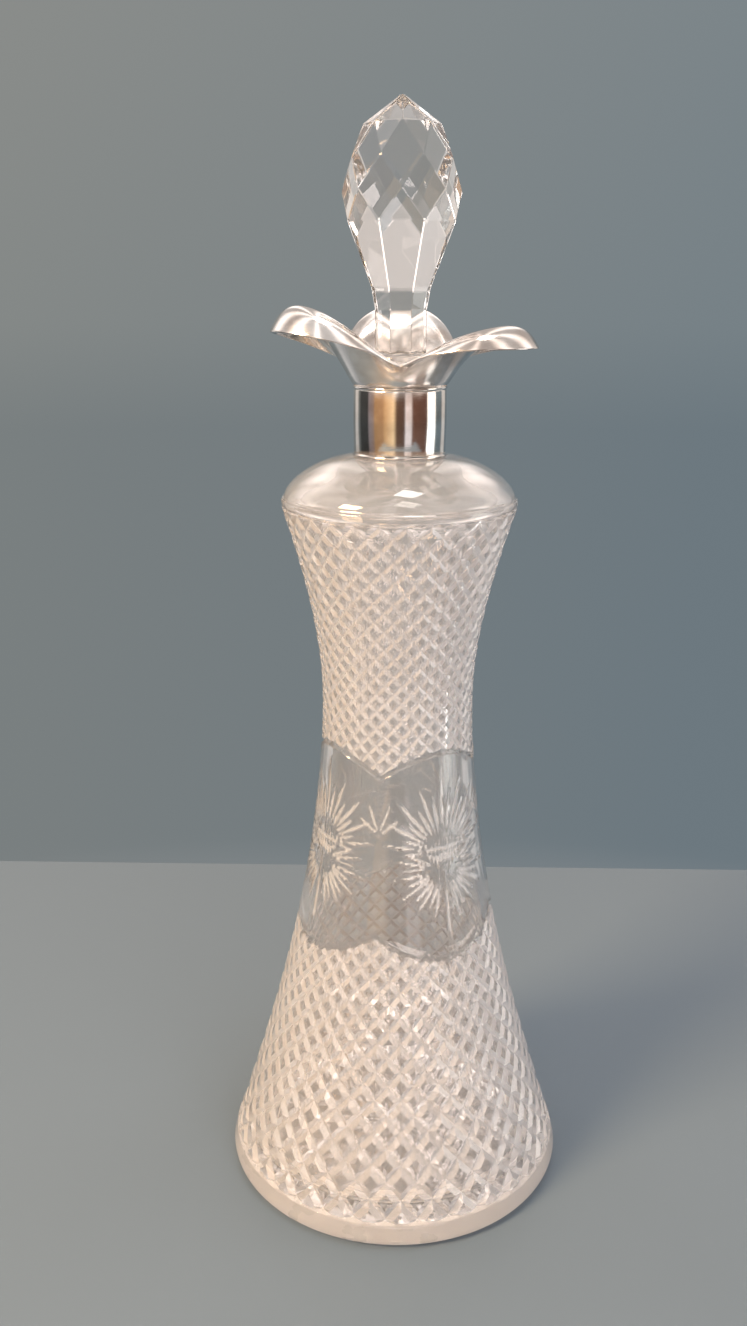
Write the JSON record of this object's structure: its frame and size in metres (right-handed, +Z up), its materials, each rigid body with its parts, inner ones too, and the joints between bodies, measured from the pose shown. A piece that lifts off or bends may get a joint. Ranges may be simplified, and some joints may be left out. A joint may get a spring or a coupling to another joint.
{
  "type": "wine decanter",
  "caption": "Waisted cut-glass wine decanter with a silver collar, a lobed silver pouring lip and a lift-out faceted glass stopper.",
  "frame": {"origin": "centre of the foot, on the plane that the foot rests on", "axes": "+Z up along the decanter's axis towards the stopper's point, -Y towards the front dip between two pouring lobes"},
  "size_m": [0.116, 0.116, 0.35],
  "materials": {
    "cut_crystal": "hobnail cut and polished lead crystal with matt wheel-engraved sprays",
    "plaster": "off-white plaster of Paris",
    "silver_collar": "polished silver with fine wear marks",
    "silver_lip": "polished hand-raised silver",
    "stopper_crystal": "facet cut polished lead crystal with a ground grey peg"
  },
  "bodies": {
    "decanter": {"decanter_body": "cut_crystal", "neck_plaster": "plaster", "collar": "silver_collar", "pouring_lip": "silver_lip"},
    "stopper": {"stopper": "stopper_crystal"}
  },
  "joints": [
    {"name": "stopper_lift", "type": "slide", "parent": "decanter", "child": "stopper", "axis": [0, 0, 1], "range_m": [0, 0.05]}
  ]
}
